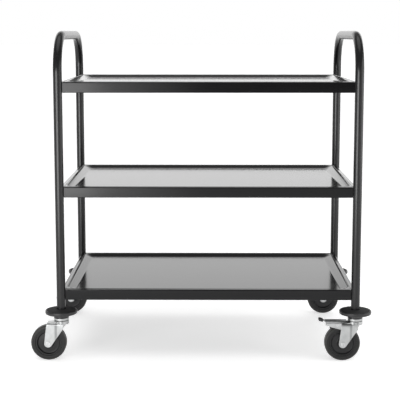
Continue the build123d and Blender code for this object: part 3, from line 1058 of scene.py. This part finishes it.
@dataclass
class Softbox:
    """A flat studio light."""

    name: str
    place: Vector
    width: float
    height: float
    brightness: float

    def build(self, target: Vector) -> bpy.types.Object:
        """Hangs the light so that it faces a point, at a brightness that doesn't depend on its size.

        Args:
            target: The point that the light faces.

        Returns:
            The light.
        """
        lamp = bpy.data.lights.new(self.name, "AREA")
        lamp.shape = "RECTANGLE"
        lamp.size, lamp.size_y = self.width, self.height
        lamp.energy = self.brightness * math.pi * self.width * self.height
        light = bpy.data.objects.new(self.name, lamp)
        light.location = self.place
        light.rotation_euler = (target - self.place).to_track_quat("-Z", "Y").to_euler()
        light.visible_camera = False
        bpy.context.scene.collection.objects.link(light)
        return light


@dataclass(frozen=True)
class Fade:
    """A smooth rise from nought along one axis of the direction in which the surround is seen."""

    axis: str
    start: float
    full: float
    most: float


@dataclass
class Studio:
    """A pale floor, a dim surround with a low rear wall and a bright ceiling, soft lights and the camera."""

    floor_radius: float = 40.0
    floor_front: float = 8.0
    floor_segments: int = 64
    floor_glow: float = 0.49
    surround: float = 0.27
    rear_wall: Fade = Fade("Y", start=0.5, full=0.8, most=1.23)
    wall_height: Fade = Fade("Z", start=0.58, full=0.42, most=1.0)
    ceiling: Fade = Fade("Z", start=0.82, full=0.92, most=1.4)
    seen_surround: float = 1.0
    camera_place: Vector = field(default_factory=lambda: Vector((0.0173, -3.1807, 0.9215)))
    camera_pitch: float = math.radians(7.294)
    camera_yaw: float = math.radians(0.388)
    camera_shift: float = -0.08
    lens: float = 95.632
    boxes: tuple[Softbox, ...] = (
        Softbox("key_panel", Vector((-1.38, -2.5, 0.45)), width=1.8, height=1.0, brightness=8.5),
        Softbox("key_edge", Vector((-0.45, -2.8, 0.45)), width=0.3, height=1.0, brightness=2.3),
        Softbox("key_feather", Vector((-0.2, -2.8, 0.45)), width=0.2, height=1.0, brightness=1.0),
        Softbox("right_strip", Vector((1.6, -2.3, 0.7)), width=0.3, height=1.4, brightness=3.0),
        Softbox("right_softbox", Vector((2.2, -0.5, 0.85)), width=1.6, height=1.4, brightness=2.6),
    )

    def build(self) -> None:
        """Sets the stage up round the trolley."""
        low, high = CAD_BOX
        for box in self.boxes:
            box.build((low + high) / 2)
        self._floor()
        self._surround()
        self._camera()

    def _floor(self) -> None:
        """Lays the floor as a wide disc at the foot of the wheels."""
        # White acrylic sheet lit from within: matt, even, and bright enough to have no far edge.
        lit_sheet = Finish(
            name="glowing_white_floor",
            colour="f7f7f7",
            cloud_colour="f4f4f4",
            roughness=0.8,
            roughness_spread=0.03,
            grain_mm=20.0,
            relief_mm=0.0,
            cloud_mm=900.0,
            glow=self.floor_glow,
        )
        bm = bmesh.new()
        middle = Matrix.Translation((0, self.floor_radius - self.floor_front, 0))
        bmesh.ops.create_circle(
            bm, cap_ends=True, segments=self.floor_segments, radius=self.floor_radius, matrix=middle
        )
        mesh = bpy.data.meshes.new("studio_floor")
        bm.to_mesh(mesh)
        bm.free()
        mesh.materials.append(lit_sheet.material())
        floor = bpy.data.objects.new("studio_floor", mesh)
        bpy.context.scene.collection.objects.link(floor)

    def _surround(self) -> None:
        """Makes the surround that lights the trolley, with plain white in its place behind the picture."""
        world = bpy.data.worlds.new("studio_surround")
        world.use_nodes = True
        tree = world.node_tree
        tree.nodes.clear()
        way = add_node(tree, "ShaderNodeTexCoord", {}, {}).outputs["Generated"]
        shares = add_node(tree, "ShaderNodeSeparateXYZ", {}, {"Vector": way}).outputs
        rises = []
        for fade in (self.rear_wall, self.wall_height, self.ceiling):
            limits = {"From Min": fade.start, "From Max": fade.full, "To Min": 0.0, "To Max": fade.most}
            smooth = {"interpolation_type": "SMOOTHSTEP"}
            rise = add_node(tree, "ShaderNodeMapRange", smooth, {"Value": shares[fade.axis], **limits})
            rises.append(rise.outputs["Result"])
        rear, low, above = rises
        wall = add_node(tree, "ShaderNodeMath", {"operation": "MULTIPLY"}, {0: rear, 1: low})
        dim = {0: wall.outputs["Value"], 1: self.surround}
        walls = add_node(tree, "ShaderNodeMath", {"operation": "ADD"}, dim)
        room = {0: walls.outputs["Value"], 1: above}
        light = add_node(tree, "ShaderNodeMath", {"operation": "ADD"}, room).outputs["Value"]
        seen = add_node(tree, "ShaderNodeLightPath", {}, {}).outputs["Is Camera Ray"]
        choice = {0: seen, 2: light, 3: self.seen_surround}
        strength = add_node(tree, "ShaderNodeMix", {"data_type": "FLOAT"}, choice).outputs[0]
        white = {"Color": linear("ffffff"), "Strength": strength}
        glow = add_node(tree, "ShaderNodeBackground", {}, white)
        add_node(tree, "ShaderNodeOutputWorld", {}, {"Surface": glow.outputs["Background"]})
        bpy.context.scene.world = world

    def _camera(self) -> None:
        """Puts the camera square to the front, a little above the top shelf."""
        view = bpy.data.cameras.new("front_camera")
        view.lens = self.lens
        view.shift_y = self.camera_shift
        camera = bpy.data.objects.new("front_camera", view)
        camera.location = self.camera_place
        camera.rotation_euler = (math.pi / 2 - self.camera_pitch, 0.0, self.camera_yaw)
        bpy.context.scene.collection.objects.link(camera)
        bpy.context.scene.camera = camera
        bpy.context.scene.view_settings.view_transform = "Standard"


def main() -> None:
    """Builds the trolley and its studio."""
    logging.basicConfig(level=logging.INFO)
    Trolley().build()
    Studio().build()


if __name__ == "__main__":
    main()
